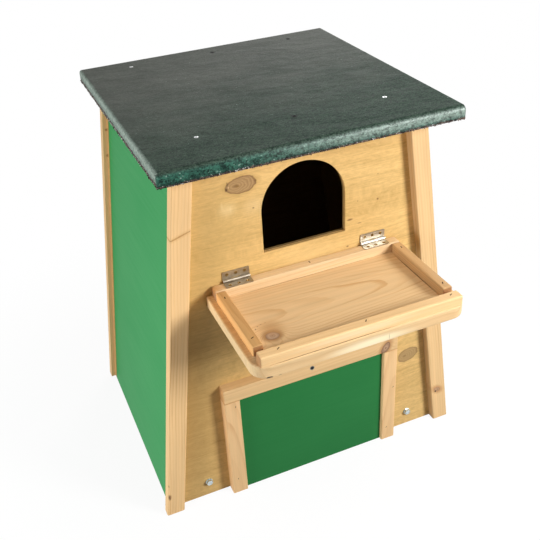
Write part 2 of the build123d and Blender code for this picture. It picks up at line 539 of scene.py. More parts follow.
@dataclass(frozen=True)
class Plywood(Finish):
    """Rotary-cut plywood: broad figure along the grain, fine pores, knots, layers on its edges, and painted
    shade on its inner face.
    """

    axes: BoardAxes
    layer: float
    seed: float
    knots: tuple[Knot, ...] = ()
    stains: tuple[Stain, ...] = ()
    tone: float = 1.0
    # Level of the painted shade on the inner face; 1 leaves it as it is.
    inside: float = 1.0
    light: Colour = (0.80, 0.537, 0.213)
    dark: Colour = (0.46, 0.282, 0.086)
    core: Colour = (0.40, 0.215, 0.075)

    def paint(self, graph: Graph) -> None:
        """Lays the plywood into a material's graph."""
        graph.surface(*self.wood(graph), relief=0.00010, specular=0.25)

    def wood(self, graph: Graph) -> tuple[Socket, Value, Value]:
        """Lays the wood into a graph.

        Args:
            graph: The material's graph.

        Returns:
            Colour, roughness and bump height.
        """
        along, across, through = self.axes.read(graph)
        drift = graph.noise(along * 0.0030 + self.seed, across * 0.013, self.seed, detail=3.0, rough=0.55)
        traces = [knot.trace(graph, self.axes, along, across) for knot in self.knots]
        figure = across + drift * 95.0
        for trace in traces:
            figure = figure + trace.push
        wave = graph.noise(along * 0.005, figure * 0.075, self.seed + 2.0, detail=3.0, rough=0.6)
        patch = graph.noise(along * 0.007, across * 0.016 + self.seed, 3.0, detail=3.0, rough=0.6)
        fibre = graph.noise(along * 0.018, across * 0.7, through * 0.7 + self.seed, detail=3.0, rough=0.6)
        pore = graph.ease(graph.noise(along * 0.09, across * 1.1, self.seed), 0.14, 0.28)
        streak = graph.noise(along * 0.014, across * 0.42 + self.seed, 5.0, detail=4.0, rough=0.68)
        mottle = graph.noise(along * 0.10, figure * 0.24, self.seed + 7.0, detail=3.0, rough=0.7)
        figuring = wave * 1.05 + streak * 0.90 + mottle * 1.05 + patch * 0.75 + 0.30
        colour = graph.mix(figuring, self.light, self.dark)
        for knot, trace in zip(self.knots, traces):
            colour = knot.colour(graph, trace, colour)
        plies = through / self.layer
        odd = graph.math("FLOOR", plies) * 0.5
        crosswise = graph.ease(odd - graph.math("FLOOR", odd), 0.2, 0.4) * graph.ease(plies, 0.9, 1.0)
        grainy = graph.noise(along * 0.8, across * 0.8, through * 0.2)
        colour = graph.mix(crosswise * (0.8 + grainy * 0.5), colour, self.core)
        for stain in self.stains:
            colour = stain.lay(graph, colour)
        # Painted shade: deeper than about three plies, on the face inside the box, the colour is darkened
        # to the inside level.
        inner = graph.ease(plies, 2.6, 3.2) * (1.0 - self.inside)
        colour = graph.scale(colour, (self.tone + fibre * 0.22 - pore * 0.17) * (1.0 - inner))
        return colour, 0.62 + fibre * 0.10, fibre * 0.6 - pore * 0.5


@dataclass(frozen=True)
class GreenPaint(Finish):
    """Satin green paint brushed on the outer face of a board, with the bare board behind it."""

    axes: BoardAxes
    bare: Plywood
    depth: float
    seed: float
    light: Colour = (0.028, 0.322, 0.085)
    dark: Colour = (0.022, 0.286, 0.074)

    def paint(self, graph: Graph) -> None:
        """Lays the paint into a graph.

        Args:
            graph: The material's graph.
        """
        wood, wood_rough, _ = self.bare.wood(graph)
        along, across, through = self.axes.read(graph)
        brush = graph.noise(along * 0.006, across * 0.20 + self.seed, through, detail=3.0, rough=0.6)
        cloud = graph.noise(along * 0.005, across * 0.007, self.seed)
        peel = graph.noise(along * 0.30, across * 0.45, through * 0.3)
        coat = graph.mix(brush * 0.6 + cloud * 1.1 + 0.5, self.light, self.dark)
        bare = graph.ease(through, self.depth, self.depth + 0.3)
        colour = graph.mix(bare, coat, wood)
        rough = (0.50 + brush * 0.12 + cloud * 0.08) * (1.0 - bare) + wood_rough * bare
        graph.surface(colour, rough, brush * 0.5 + peel * 0.3, relief=0.00012, specular=0.10)


@dataclass(frozen=True)
class MineralFelt(Finish):
    """Green mineral roofing felt: granules, dust and painted sheen towards the back, a worn gloss and a
    painted highlight on its folds, scuffs with painted light on its left edge, and a torn line below.
    """

    bottom: float
    top: float
    front: float
    back: float
    left: float
    pits: tuple[Point, ...] = ()
    pit_reach: Point = (5.0, 6.0, 3.0)
    deep: Colour = (0.005, 0.016, 0.010)
    mid: Colour = (0.050, 0.083, 0.059)
    dust: Colour = (0.140, 0.140, 0.125)
    fold_deep: Colour = (0.002, 0.014, 0.010)
    fold_mid: Colour = (0.030, 0.128, 0.088)
    pale: Colour = (0.30, 0.38, 0.33)
    rub: Colour = (0.38, 0.46, 0.40)
    bitumen: Colour = (0.008, 0.008, 0.009)
    fibre: Colour = (0.130, 0.088, 0.070)
    chip: Colour = (0.50, 0.50, 0.48)

    def paint(self, graph: Graph) -> None:
        """Lays the felt into a graph.

        Args:
            graph: The material's graph.
        """
        place = graph.place()
        x, y, z = graph.parts(place)
        pick, round_off = graph.grains(place, 0.62)
        clump = graph.noise(x * 0.24, y * 0.24, z * 0.24, detail=4.0, rough=0.7)
        blotch = graph.noise(x * 0.075, y * 0.075, z * 0.11, detail=3.0, rough=0.6)
        cloud = graph.noise(x * 0.010, y * 0.017, z * 0.02, detail=3.0, rough=0.6)
        behind = graph.ease(y, self.front + 2.0, self.front + 6.0)
        leftmost = graph.ease(x, self.left + 7.0, self.left + 2.0) * behind
        fold = graph.ease(z - leftmost * 3.0, self.top - 0.9, self.top - 5.0)
        green = graph.mix((pick - 0.5) * 1.2 + clump * 1.7 + blotch * 0.7 + 0.5, self.deep, self.mid)
        # Dust and painted reflection: the felt greys towards the back, partly for dust and partly as a
        # painted sheen.
        settled = graph.ease(y + x * -0.20 + cloud * 260.0, self.front - 5.0, self.back - 50.0)
        green = graph.mix(settled * (0.62 + clump * 0.7), green, self.dust)
        depth = (pick - 0.5) * 0.9 + clump * 1.8 + blotch * 1.5 + 0.46
        folded = graph.mix(depth, self.fold_deep, self.fold_mid)
        soaked = graph.ease(z + clump * 9.0 + blotch * 8.0, self.bottom + 8.0, self.bottom + 1.5)
        folded = graph.mix(soaked * 0.72, folded, self.fold_deep)
        # Painted highlight: a paler band on the front fold, stronger to the right and above the torn edge,
        # stands for the lamp's sheen.
        rightwards = graph.ease(x + blotch * 90.0, -125.0, 115.0)
        rubbed = graph.ease(y, self.front + 14.0, self.front + 3.0) * rightwards
        rubbed = rubbed * graph.ease(z + clump * 6.0, self.bottom + 1.5, self.bottom + 9.5)
        # Scuffs and painted light: the left edge is paled, partly for wear and partly to lift it where it
        # turns away from the lamps.
        scuffed = leftmost * (0.64 + graph.ease(z, self.bottom + 6.0, self.top - 3.0) * 0.45)
        bare = (rubbed * 0.60 + scuffed) * (0.72 + (pick - 0.5) * 0.5 + clump * 1.5)
        colour = graph.mix(fold, green, graph.mix(bare, folded, self.rub))
        spark = graph.ease(pick + clump * 0.5, 1.02 - fold * 0.05, 1.08 - fold * 0.04)
        colour = graph.mix(spark * 0.75, colour, self.pale)
        tear = graph.noise(x * 0.20, y * 0.20, 1.0, detail=3.0, rough=0.75)
        torn = graph.ease(z + tear * 8.0 - leftmost * 2.8, self.bottom + 3.0, self.bottom + 1.8)
        speck = graph.noise(x * 0.45, y * 0.45, z * 0.45)
        fringe = graph.ease(speck + leftmost * 0.10, 0.17, 0.25)
        frayed = graph.mix(graph.ease(clump, -0.10, 0.10), self.bitumen, self.fibre)
        colour = graph.mix(torn, colour, graph.mix(fringe, frayed, self.chip))
        for pit in self.pits:
            colour = Stain(pit, self.pit_reach, self.bitumen, share=0.95, core=0.45).lay(graph, colour)
        colour = graph.scale(colour, 1.0 + cloud * 0.45)
        rough = 0.79 + clump * 0.12 + pick * 0.06 + torn * 0.2
        swell = graph.noise(x * 0.020, y * 0.034, z * 0.02)
        height = (1.0 - round_off) * 0.45 + clump * 0.45 + swell * 5.0
        worn = graph.ease(clump * 0.9 + blotch * 0.8 + pick * 0.25, -0.32, 0.42)
        polish = 0.25 + graph.ease(x, self.left + 20.0, 60.0) * 0.75
        sheen = graph.ease(z, self.top - 0.3, self.top - 2.6) * (1.0 - torn) * worn * polish
        graph.surface(colour, rough, height, relief=0.0006, specular=0.16, coat=sheen, coat_rough=0.46)


@dataclass(frozen=True)
class RustyIron(Finish):
    """Dark sunk brads: brown-black iron with rust."""

    seed: float
    dark: Colour = (0.018, 0.012, 0.009)
    rust: Colour = (0.085, 0.036, 0.014)

    def paint(self, graph: Graph) -> None:
        """Lays the iron into a graph.

        Args:
            graph: The material's graph.
        """
        x, y, z = graph.parts(graph.place())
        bloom = graph.noise(x * 1.2 + self.seed, y * 1.2, z * 1.2, detail=3.0, rough=0.6)
        colour = graph.mix(graph.ease(bloom, -0.05, 0.25), self.dark, self.rust)
        graph.surface(colour, 0.70 + bloom * 0.3, bloom, relief=0.00005, specular=0.05)


@dataclass(frozen=True)
class FeltFringe(Finish):
    """Torn felt along the roof's lower edges: bitumen, brown fibres and pale chips, most on the left."""

    left: float
    bitumen: Colour = (0.010, 0.010, 0.011)
    fibre: Colour = (0.150, 0.108, 0.085)
    chip: Colour = (0.56, 0.57, 0.55)

    def paint(self, graph: Graph) -> None:
        """Lays the torn felt into a graph.

        Args:
            graph: The material's graph.
        """
        place = graph.place()
        x, y, z = graph.parts(place)
        pick, _ = graph.grains(place, 0.33)
        grit = graph.noise(x * 1.6, y * 1.6, z * 1.6)
        leftwards = graph.ease(x, self.left + 4.5, self.left + 1.0)
        colour = graph.mix(graph.ease(pick, 0.25, 0.50), self.bitumen, self.fibre)
        chipped = graph.ease(pick + grit * 0.2 + leftwards * 0.20, 0.80, 0.86)
        colour = graph.mix(chipped, colour, self.chip)
        graph.surface(colour, 0.66 + grit * 0.3, grit, relief=0.0002, specular=0.25)


@dataclass(frozen=True)
class PlatedSteel(Finish):
    """Plated steel: fine scratches, cloudy tarnish and duller spots."""

    bright: Colour
    dull: Colour
    rough: float
    seed: float

    def paint(self, graph: Graph) -> None:
        """Lays the plated steel into a graph.

        Args:
            graph: The material's graph.
        """
        x, y, z = graph.parts(graph.place())
        cloud = graph.noise(x * 0.14 + self.seed, y * 0.14, z * 0.14, detail=3.0, rough=0.6)
        scratch = graph.noise(x * 0.25, y * 4.0, z * 4.0 + self.seed)
        spot = graph.ease(graph.noise(x * 1.1, y * 1.1, z * 1.1 + self.seed), 0.12, 0.30)
        colour = graph.mix(cloud * 1.6 + 0.35 + spot * 0.4, self.bright, self.dull)
        rough = self.rough + cloud * 0.16 + scratch * 0.10 + spot * 0.10
        graph.surface(colour, rough, scratch * 0.15 + cloud * 0.6, relief=0.00003, metallic=1.0)


class HeadShape(Enum):
    """The shapes of fixing heads."""

    CROSS = "cross"
    BRAD = "brad"
    EYELET = "eyelet"


@dataclass(frozen=True)
class FixingHead:
    """The head of a screw or brad about the origin, with its face up, in millimetres."""

    shape: HeadShape
    radius: float
    rise: float
    seat: float = 0.0
    shank: float = 0.6
    segments: int = 24

    def rings(self) -> Rings:
        """Rings of the head's skin, from its seat to its face."""
        makers = {HeadShape.CROSS: self._cross, HeadShape.BRAD: self._brad, HeadShape.EYELET: self._eyelet}
        return makers[self.shape]()

    def _ring(self, share: float, heights: list[float]) -> list[Point]:
        """One round ring at a share of the radius, with its own height at each point."""
        radius = self.radius * share
        step = 2 * math.pi / self.segments
        return [(radius * math.cos(i * step), radius * math.sin(i * step), height)
                for i, height in enumerate(heights)]

    def _level(self, *rows: tuple[float, float]) -> Rings:
        """Level rings, each from a share of the radius and a height."""
        return [self._ring(share, [height] * self.segments) for share, height in rows]

    def _cross(self) -> Rings:
        """Shapes a countersunk head with a cross recess.

        Returns:
            Its rings, from the shank to the recess.
        """
        deep = -0.42 * self.radius
        quarter = self.segments // 4
        arms = [deep if i % quarter == 0 else self.rise for i in range(self.segments)]
        outside = self._level((self.shank, -self.seat), (0.985, -0.12), (1.0, 0.0), (0.86, self.rise * 0.7),
                              (0.66, self.rise))
        return [*outside, self._ring(0.58, arms), *self._level((0.20, deep))]

    def _eyelet(self) -> Rings:
        """Rings of a rolled metal rim round a hole, whose bottom lies under the board's face."""
        return self._level((0.98, -self.seat), (1.0, 0.0), (0.96, self.rise * 0.7), (0.88, self.rise),
                           (0.80, self.rise * 0.8), (0.75, 0.0), (0.73, -self.seat))

    def _brad(self) -> Rings:
        """Shapes a brad's narrow flat head.

        Returns:
            Its rings, which lie along X.
        """
        half = self.radius * 0.30
        tip = self.radius * 1.08
        outline = [(self.radius, -half), (tip, 0.0), (self.radius, half),
                   (-self.radius, half), (-tip, 0.0), (-self.radius, -half)]
        return [[(x, y, -self.seat) for x, y in outline], [(x, y, self.rise * 0.6) for x, y in outline],
                [(x * 0.9, y * 0.6, self.rise) for x, y in outline]]


@dataclass(frozen=True)
class Flake:
    """A small uneven flake about the origin, in millimetres."""

    long: float
    wide: float
    thick: float

    def rings(self) -> Rings:
        """Rings of the flake's skin, its narrower face first."""
        outline = ((-0.50, -0.22), (-0.12, -0.50), (0.50, -0.30), (0.36, 0.34), (-0.24, 0.50))
        return [[(u * share * self.long, v * share * self.wide, level * self.thick) for u, v in outline]
                for level, share in ((-0.5, 0.9), (0.5, 1.0))]


def skin(name: str, rings: Rings) -> Piece:
    """Closes rings of points into a mesh object that isn't a piece yet.

    Args:
        name: Name of the object.
        rings: Rings with as many points each, in millimetres.

    Returns:
        The object, which is in no collection.
    """
    shape = bmesh.new()
    loops = [[shape.verts.new(Vector(p) * MM) for p in ring] for ring in rings]
    count = len(loops[0])
    for low, high in zip(loops, loops[1:]):
        for i in range(count):
            after = (i + 1) % count
            shape.faces.new((low[i], low[after], high[after], high[i]))
    shape.faces.new(list(reversed(loops[0])))
    shape.faces.new(loops[-1])
    bmesh.ops.recalc_face_normals(shape, faces=shape.faces)
    mesh = bpy.data.meshes.new(name)
    shape.to_mesh(mesh)
    shape.free()
    return bpy.data.objects.new(name, mesh)


class ScatterTree:
    """A Geometry Nodes tree that sets copies of one pattern on points and dresses them as one mesh."""

    def __init__(self, name: str, sizes: dict[str, str]) -> None:
        """Opens the tree with its named inputs.

        Args:
            name: Name of the tree.
            sizes: Names of its own inputs and the kind of each.
        """
        self.group = bpy.data.node_groups.new(name, "GeometryNodeTree")
        face = self.group.interface
        face.new_socket("Geometry", in_out="OUTPUT", socket_type="NodeSocketGeometry")
        kinds = {"Geometry": "Geometry", "Pattern": "Object", **sizes, "Seed": "Int", "Finish": "Material"}
        self.inputs = {key: face.new_socket(key, in_out="INPUT", socket_type=f"NodeSocket{kind}").identifier
                       for key, kind in kinds.items()}
        self.graph = Graph(self.group)
        self.given = self.graph.node("NodeGroupInput").outputs

    def number(self, least: object, most: object) -> Socket:
        """A random number for each point, from the tree's seed."""
        made = self.graph.node("FunctionNodeRandomValue", {"data_type": "FLOAT"},
                               {2: least, 3: most, "Seed": self.given["Seed"]})
        return made.outputs[1]

    def vector(self, least: object, most: object) -> Socket:
        """A random vector for each point, from the tree's seed."""
        made = self.graph.node("FunctionNodeRandomValue", {"data_type": "FLOAT_VECTOR"},
                               {0: least, 1: most, "Seed": self.given["Seed"]})
        return made.outputs[0]

    def close(self, points: Socket, turn: Socket, size: object) -> None:
        """Sets the pattern on the points and ends the tree in one dressed mesh.

        Args:
            points: Where the copies go.
            turn: The turn of each.
            size: The size of each, as a share.
        """
        pattern = self.graph.node("GeometryNodeObjectInfo", {"transform_space": "ORIGINAL"},
                                  {"Object": self.given["Pattern"]})
        copies = self.graph.node("GeometryNodeInstanceOnPoints", None,
                                 {"Points": points, "Instance": pattern.outputs["Geometry"],
                                  "Rotation": turn, "Scale": size})
        solid = self.graph.node("GeometryNodeRealizeInstances", None, {0: copies.outputs[0]})
        dressed = self.graph.node("GeometryNodeSetMaterial", None,
                                  {"Geometry": solid.outputs[0], "Material": self.given["Finish"]})
        self.graph.node("NodeGroupOutput", None, {0: dressed.outputs[0]})

    def run(self, name: str, rings: Rings, points: list[Point], edges: list[tuple[int, int]],
            values: dict[str, object]) -> Piece:
        """Runs the tree on some points and keeps its result as a plain mesh.

        Args:
            name: Name of the finished piece.
            rings: Rings of the pattern's skin.
            points: Places in the row frame, in millimetres.
            edges: Pairs of the points that a line joins.
            values: The tree's inputs by name.

        Returns:
            The finished piece.
        """
        pattern = skin(name + ".pattern", rings)
        start = bpy.data.meshes.new(name)
        start.from_pydata([Vector(p) * MM for p in points], edges, [])
        piece = bpy.data.objects.new(name, start)
        bpy.context.scene.collection.objects.link(piece)
        modifier = piece.modifiers.new("scatter", "NODES")
        modifier.node_group = self.group
        for key, value in {"Pattern": pattern, **values}.items():
            modifier[self.inputs[key]] = value
        depsgraph = bpy.context.evaluated_depsgraph_get()
        depsgraph.update()
        mesh = bpy.data.meshes.new_from_object(piece.evaluated_get(depsgraph))
        piece.modifiers.clear()
        piece.data = mesh
        bpy.data.meshes.remove(start)
        mesh.name = name
        bpy.data.objects.remove(pattern)
        return piece


class FixingTree(ScatterTree):
    """Sets a head on each point of a mesh, with its own small turn."""

    def __init__(self) -> None:
        """Builds the tree."""
        super().__init__("set_fixings", {"Facing": "Vector", "Least turn": "Float", "Most turn": "Float"})
        turn = self.number(self.given["Least turn"], self.given["Most turn"])
        spin = self.graph.node("FunctionNodeAxisAngleToRotation", None, {"Axis": UP, "Angle": turn})
        aim = self.graph.node("FunctionNodeAlignRotationToVector", {"axis": "Z"},
                              {"Vector": self.given["Facing"]})
        whole = self.graph.node("FunctionNodeRotateRotation", {"rotation_space": "LOCAL"},
                                {0: aim.outputs[0], 1: spin.outputs[0]})
        points = self.graph.node("GeometryNodeMeshToPoints", None, {"Mesh": self.given["Geometry"]})
        self.close(points.outputs[0], whole.outputs[0], FULL_SIZE)

    def grow(self, name: str, head: FixingHead, points: list[Point], facing: Point,
             finish: Material, turns: tuple[float, float], seed: int) -> Piece:
        """Sets the heads and makes them one plain mesh.

        Args:
            name: Name of the finished piece.
            head: Shape of one head.
            points: Places of the heads in the row frame, in millimetres.
            facing: Direction that the heads face.
            finish: Their material.
            turns: Least and most turn of a head about its axis, in degrees.
            seed: Seed of the turns.

        Returns:
            The finished piece.
        """
        least, most = (math.radians(turn) for turn in turns)
        values = {"Facing": facing, "Least turn": least, "Most turn": most, "Seed": seed, "Finish": finish}
        return self.run(name, head.rings(), points, [], values)


class FlakeTree(ScatterTree):
    """Strews flakes along a line, each with its own turn, size and stray."""

    def __init__(self) -> None:
        """Builds the tree."""
        super().__init__("strew_flakes", {"Step": "Float", "Stray": "Vector", "Least size": "Float",
                                          "Most size": "Float"})
        line = self.graph.node("GeometryNodeMeshToCurve", None, {"Mesh": self.given["Geometry"]})
        spaced = self.graph.node("GeometryNodeCurveToPoints", {"mode": "LENGTH"},
                                 {"Curve": line.outputs[0], "Length": self.given["Step"]})
        far = self.given["Stray"]
        strewn = self.graph.node("GeometryNodeSetPosition", None,
                                 {"Geometry": spaced.outputs[0],
                                  "Offset": self.vector(self.graph.scale(far, -1.0), far)})
        turn = self.vector((0.0, 0.0, 0.0), (2 * math.pi, 2 * math.pi, 2 * math.pi))
        tumble = self.graph.node("FunctionNodeEulerToRotation", None, {0: turn})
        size = self.number(self.given["Least size"], self.given["Most size"])
        self.close(strewn.outputs[0], tumble.outputs[0], size)

    def grow(self, name: str, flake: Flake, loop: list[Point], step: float, stray: Point,
             sizes: tuple[float, float], finish: Material, seed: int) -> Piece:
        """Strews the flakes and makes them one plain mesh.

        Args:
            name: Name of the finished piece.
            flake: Shape of one flake.
            loop: Corners of the closed line, in millimetres.
            step: Distance between flakes along the line, in millimetres.
            stray: How far a flake may lie off the line each way, in millimetres.
            sizes: Least and most size of a flake, as a share.
            finish: Their material.
            seed: Seed of the places, turns and sizes.

        Returns:
            The finished piece.
        """
        count = len(loop)
        values = {"Step": step * MM, "Stray": Vector(stray) * MM, "Least size": sizes[0],
                  "Most size": sizes[1], "Seed": seed, "Finish": finish}
        return self.run(name, flake.rings(), loop, [(i, (i + 1) % count) for i in range(count)], values)


def dress(node: Piece, material: Material) -> None:
    """Gives every material slot of a node one finish.

    Args:
        node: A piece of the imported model.
        material: Its finish.
    """
    if not node.material_slots:
        node.data.materials.append(material)
    for slot in node.material_slots:
        slot.material = material
    log.info("dressed %s in %s", node.name, material.name)


def carry(piece: Piece, body: Body) -> None:
    """Sets a new piece on its body.

    Args:
        piece: The new piece.
        body: The body that it rides on.
    """
    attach(piece, body.value)
    log.info("added %s to %s", piece.name, body.value)


@dataclass
class Shell:
    """The plywood front and back, the floor, the green side walls and the leaning pine posts."""

    nodes: Nodes
    front_y: float = -101.5
    back_y: float = 261.0
    floor_level: float = 34.5
    floor_layer: float = 2.6
    lean: float = 0.134
    half_width: float = 252.0
    wall_layer: float = 1.8
    paint_depth: float = 1.0
    inner_shade: float = 0.4
    post_middle: float = 246.0
    post_thick: float = 14.0
    post_pith: tuple[float, float] = (58.0, 26.0)
    post_ring: float = 3.7
    # Painted shade on the right posts' inner faces and painted light on the left posts' outer faces.
    shaded_flank: float = 0.73
    lit_flank: float = 1.14

    def build(self) -> None:
        """Dresses the boards and posts."""
        self._panels()
        self._walls()
        self._posts()

    def _panels(self) -> None:
        """Front, back and floor boards in plywood, with painted shade inside the box."""
        front = BoardAxes((0.0, self.front_y, 0.0), ALONG_X, DOWN)
        back = BoardAxes((0.0, self.back_y, 0.0), (-1.0, 0.0, 0.0), DOWN)
        flat = BoardAxes((0.0, 0.0, self.floor_level), ALONG_X, FORWARD)
        woods = {"front_panel": Plywood("front_plywood", front, self.wall_layer, seed=4.0,
                                        knots=self._front_knots(), stains=self._front_marks(),
                                        tone=0.97, inside=self.inner_shade),
                 "back_panel": Plywood("back_plywood", back, self.wall_layer, seed=11.0,
                                       inside=self.inner_shade),
                 # Painted shade: the whole floor board, which lies inside the box, is darkened.
                 "floor_board": Plywood("floor_plywood", flat, self.floor_layer, seed=17.0,
                                        tone=self.inner_shade)}
        for name, wood in woods.items():
            dress(self.nodes[name], wood.make())

    def _front_knots(self) -> tuple[Knot, ...]:
        """Places the two sound knots in the front's plywood.

        Returns:
            The knot beside the entrance and the one beside the hatch.
        """
        upper = Knot((-89.0, self.front_y, 534.5), radius=11.9, stretch=1.80, slant=-2.0, swirl=0.8,
                     ring=2.6, eye=0.35, light=(0.43, 0.27, 0.125), dark=(0.165, 0.082, 0.034), shade=0.5,
                     stain=(0.50, 0.30, 0.10), spread=1.5)
        lower = Knot((180.0, self.front_y, 155.5), radius=13.2, stretch=1.45, slant=-13.0, swirl=0.7,
                     ring=2.6, eye=0.33, light=(0.43, 0.285, 0.125), dark=(0.25, 0.15, 0.06), shade=0.3,
                     stain=(0.55, 0.34, 0.12), spread=1.4, depth=0.90)
        return upper, lower

    def _front_marks(self) -> tuple[Stain, ...]:
        """Clouds in the front's plywood, a broad dark one of them painted shade low on the left, the bark
        round its upper knot, and small brown specks.

        Returns:
            The marks, broad ones first. A row holds x, z, half sizes along both, colour, share and core.
        """
        bark = (0.085, 0.040, 0.018)
        cream = (0.96, 0.78, 0.44)
        brown = (0.20, 0.095, 0.035)
        clouds = ((-190.0, 430.0, 150.0, 240.0, (0.60, 0.405, 0.135), 0.50, 0.0),
                  # Painted shade: this broad dark cloud low on the left darkens the plywood where shadow
                  # falls beside and below the tray.
                  (-215.0, 190.0, 105.0, 300.0, (0.38, 0.225, 0.066), 0.66, 0.1),
                  (-72.0, 500.0, 27.0, 21.0, (0.90, 0.68, 0.35), 0.35, 0.0),
                  (-110.0, 503.0, 20.0, 15.0, (0.93, 0.72, 0.36), 0.50, 0.0),
                  (-117.5, 510.0, 2.6, 9.0, cream, 0.22, 0.1),
                  (-106.0, 502.5, 2.2, 8.0, cream, 0.20, 0.1),
                  (5.0, 402.0, 100.0, 32.0, (0.86, 0.63, 0.29), 0.36, 0.0),
                  (-109.6, 531.6, 2.4, 3.4, bark, 0.85, 0.3),
                  (-107.6, 539.6, 1.5, 4.2, bark, 0.70, 0.2),
                  (-106.2, 534.4, 1.6, 2.2, (0.72, 0.50, 0.27), 0.75, 0.2),
                  (-68.2, 535.6, 2.4, 2.6, (0.16, 0.075, 0.03), 0.65, 0.2),
                  (-93.4, 533.4, 4.4, 2.2, (0.25, 0.135, 0.035), 0.70, 0.2))
        specks = ((70.5, 440.3, 6.4, 2.3, brown, 0.80, 0.3),
                  (66.8, 397.3, 2.8, 1.7, brown, 0.75, 0.4),
                  (86.0, 431.2, 5.0, 1.6, brown, 0.55, 0.2),
                  (97.0, 450.0, 7.0, 9.0, (0.55, 0.35, 0.12), 0.40, 0.0),
                  (115.0, 462.6, 2.0, 2.1, brown, 0.85, 0.4),
                  (83.0, 467.0, 1.2, 1.5, brown, 0.60, 0.4),
                  (114.5, 502.2, 1.2, 1.2, brown, 0.60, 0.4),
                  (-74.0, 497.0, 2.0, 1.4, brown, 0.75, 0.4))
        return tuple(Stain((x, self.front_y, z), (wide, deep, high), colour, share, core)
                     for deep, rows in ((5.0, clouds), (4.0, specks))
                     for x, z, wide, high, colour, share, core in rows)

    def _walls(self) -> None:
        """Side walls in green paint outside and bare plywood inside."""
        for side in Side:
            slope = Vector((-side.value * self.lean, 0.0, 1.0)).normalized()
            along = (0.0, float(-side.value), 0.0)
            axes = BoardAxes((side.value * self.half_width, 0.0, 0.0), along, tuple(slope))
            bare = Plywood(f"wall_bare_{side.label}", axes, self.wall_layer, seed=23.0,
                           inside=self.inner_shade)
            paint = GreenPaint(f"wall_green_{side.label}", axes, bare, self.paint_depth,
                               seed=5.0 + side.value)
            dress(self.nodes[f"side_wall_{side.label}"], paint.make())

    def _posts(self) -> None:
        """Front and back posts in pine that follows their lean."""
        knots = self._post_knots()
        chip = (0.11, 0.05, 0.022)
        face = self.front_y - self.post_thick
        stains = {("front", Side.LEFT): (Stain((-252.4, face, 38.0), (2.5, 5.0, 8.5), chip, 0.8, 0.2),
                                         Stain((-250.5, face, 62.0), (0.9, 5.0, 3.6), chip, 0.6, 0.3)),
                  ("front", Side.RIGHT): (Stain((231.3, face, 65.2), (2.1, 5.0, 2.2)),)}
        tones = {("front", Side.LEFT): 1.05, ("front", Side.RIGHT): 0.94,
                 ("back", Side.LEFT): 1.0, ("back", Side.RIGHT): 0.98}
        for key, tone in tones.items():
            row, side = key
            up = (-side.value * self.lean, 0.0, 1.0)
            base = self.front_y if row == "front" else self.back_y
            axes = BoardAxes((side.value * self.post_middle, base, 0.0), up, ALONG_X)
            finish = Pine(f"post_pine_{row}_{side.label}", axes,
                          pith=(side.value * self.post_pith[0], self.post_pith[1]), ring=self.post_ring,
                          seed=31.0 + 7.0 * side.value + (3.0 if row == "front" else 0.0),
                          tilt=0.006, wander=7.0, tone=tone,
                          contrast=1.15 if key == ("front", Side.LEFT) else 0.85,
                          knots=knots.get(key, ()), stains=stains.get(key, ()),
                          flank=self.shaded_flank if side is Side.RIGHT else self.lit_flank)
            dress(self.nodes[f"{row}_post_{side.label}"], finish.make())

    def _post_knots(self) -> dict[tuple[str, Side], tuple[Knot, ...]]:
        """Places the knots in the posts.

        Returns:
            The knots of each post that has any, by row and side.
        """
        line = Knot((-182.5, self.front_y, 489.5), radius=1.1, stretch=15.5, slant=65.6, swirl=1.0,
                    light=(0.50, 0.26, 0.085), dark=(0.32, 0.135, 0.038), shade=0.35,
                    stain=(0.62, 0.36, 0.14), spread=4.5, depth=0.80)
        whorl = Knot((234.0, self.front_y, 69.0), radius=4.2, stretch=1.5, slant=-50.0, swirl=2.6, ring=1.5,
                     eye=0.3, light=(0.50, 0.32, 0.19), dark=(0.22, 0.095, 0.045), shade=0.7,
                     stain=(0.50, 0.22, 0.08), spread=2.8, depth=0.8)
        return {("front", Side.LEFT): (Knot((-251.0, self.front_y, 38.0), radius=1.3, stretch=3.4), line,
                                       Knot((-197.9, self.front_y, 487.0), radius=1.6, stretch=2.2)),
                ("front", Side.RIGHT): (whorl,),
                ("back", Side.LEFT): (Knot((-190.0, self.back_y, 455.0), radius=4.0, stretch=0.6),
                                      Knot((-186.0, self.back_y, 500.0), radius=3.0, stretch=0.6))}


